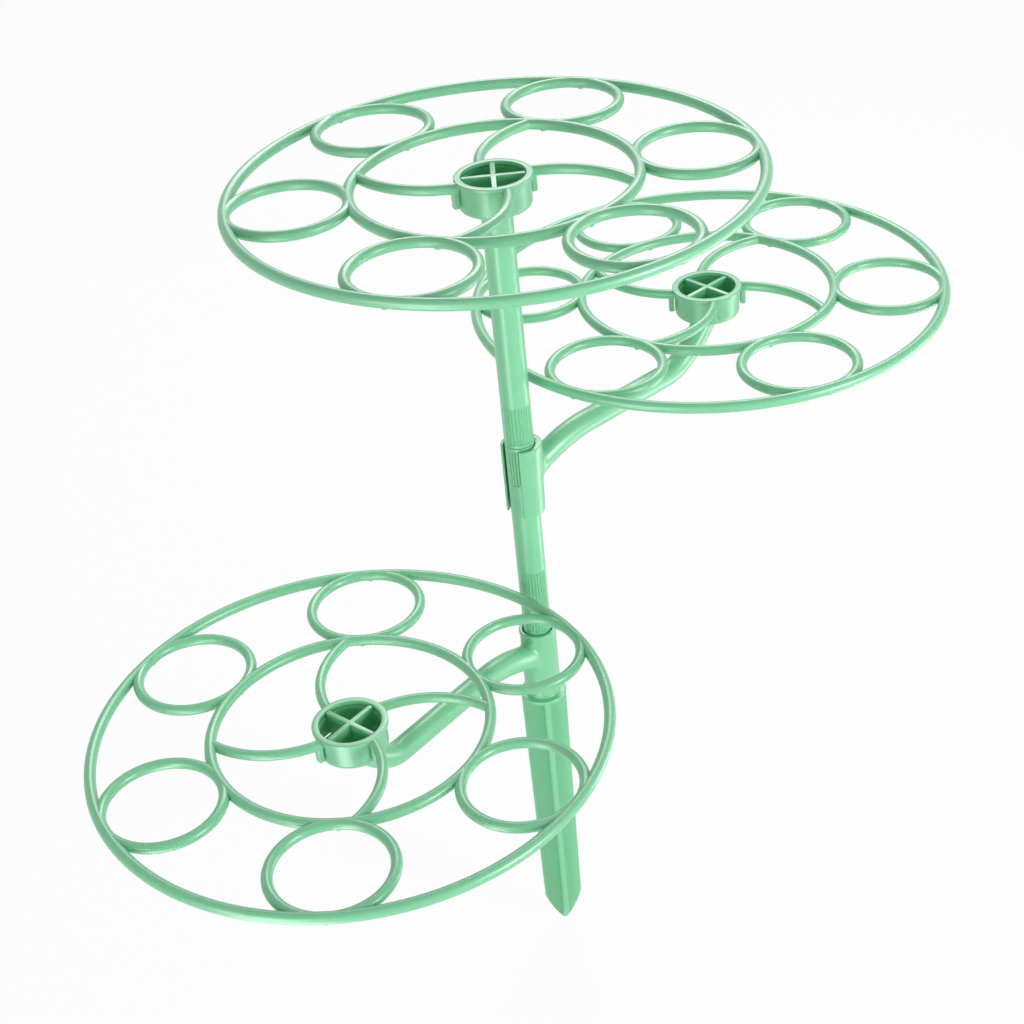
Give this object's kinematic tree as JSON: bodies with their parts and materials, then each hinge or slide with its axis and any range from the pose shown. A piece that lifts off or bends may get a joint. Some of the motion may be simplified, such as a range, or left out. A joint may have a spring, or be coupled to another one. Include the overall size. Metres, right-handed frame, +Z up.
{
  "type": "plant support rack",
  "caption": "Garden plant support: round ring trays on swinging arms, carried by a plug-together pole on a pointed ground stake.",
  "frame": {"origin": "on the pole's axis, at the underside of the stake's soil disc, where the soil's surface lies", "axes": "+Z up along the pole; the lower arm points between -X and -Y, and the clip arm between +X and +Y"},
  "size_m": [0.4954, 0.4923, 0.5196],
  "materials": {
    "ground_stake_plastic": "satin",
    "lower_arm_plastic": "satin",
    "mid_pole_plastic": "satin",
    "upper_pole_plastic": "satin",
    "clip_arm_plastic": "satin",
    "tray_top_plastic": "satin",
    "tray_middle_plastic": "satin",
    "tray_lower_plastic": "satin"
  },
  "bodies": {
    "ground_stake": {"ground_stake": "ground_stake_plastic"},
    "lower_arm": {"lower_arm": "lower_arm_plastic"},
    "mid_pole": {"mid_pole": "mid_pole_plastic"},
    "upper_pole": {"upper_pole": "upper_pole_plastic"},
    "clip_arm": {"clip_arm": "clip_arm_plastic"},
    "tray_top": {"tray_top": "tray_top_plastic"},
    "tray_middle": {"tray_middle": "tray_middle_plastic"},
    "tray_lower": {"tray_lower": "tray_lower_plastic"}
  },
  "joints": [
    {"name": "lower_arm_swing", "type": "hinge", "parent": "ground_stake", "child": "lower_arm", "pos_m": [0, 0, 0.0283], "axis": [0, 0, 1], "continuous": true},
    {"name": "mid_pole_turn", "type": "hinge", "parent": "ground_stake", "child": "mid_pole", "pos_m": [0, 0, 0.0698], "axis": [0, 0, 1], "continuous": true},
    {"name": "clip_arm_slide", "type": "slide", "parent": "mid_pole", "child": "clip_arm", "axis": [0, 0, 1], "range_m": [-0.08, 0.1]},
    {"name": "upper_pole_turn", "type": "hinge", "parent": "mid_pole", "child": "upper_pole", "pos_m": [0, 0, 0.1853], "axis": [0, 0, 1], "continuous": true},
    {"name": "tray_top_turn", "type": "hinge", "parent": "upper_pole", "child": "tray_top", "pos_m": [0, 0, 0.3285], "axis": [0, 0, 1], "continuous": true},
    {"name": "tray_middle_turn", "type": "hinge", "parent": "clip_arm", "child": "tray_middle", "pos_m": [0.11731, 0.10008, 0.2049], "axis": [0, 0, 1], "continuous": true},
    {"name": "tray_lower_turn", "type": "hinge", "parent": "lower_arm", "child": "tray_lower", "pos_m": [-0.10171, -0.1159, 0.0834], "axis": [0, 0, 1], "continuous": true}
  ]
}
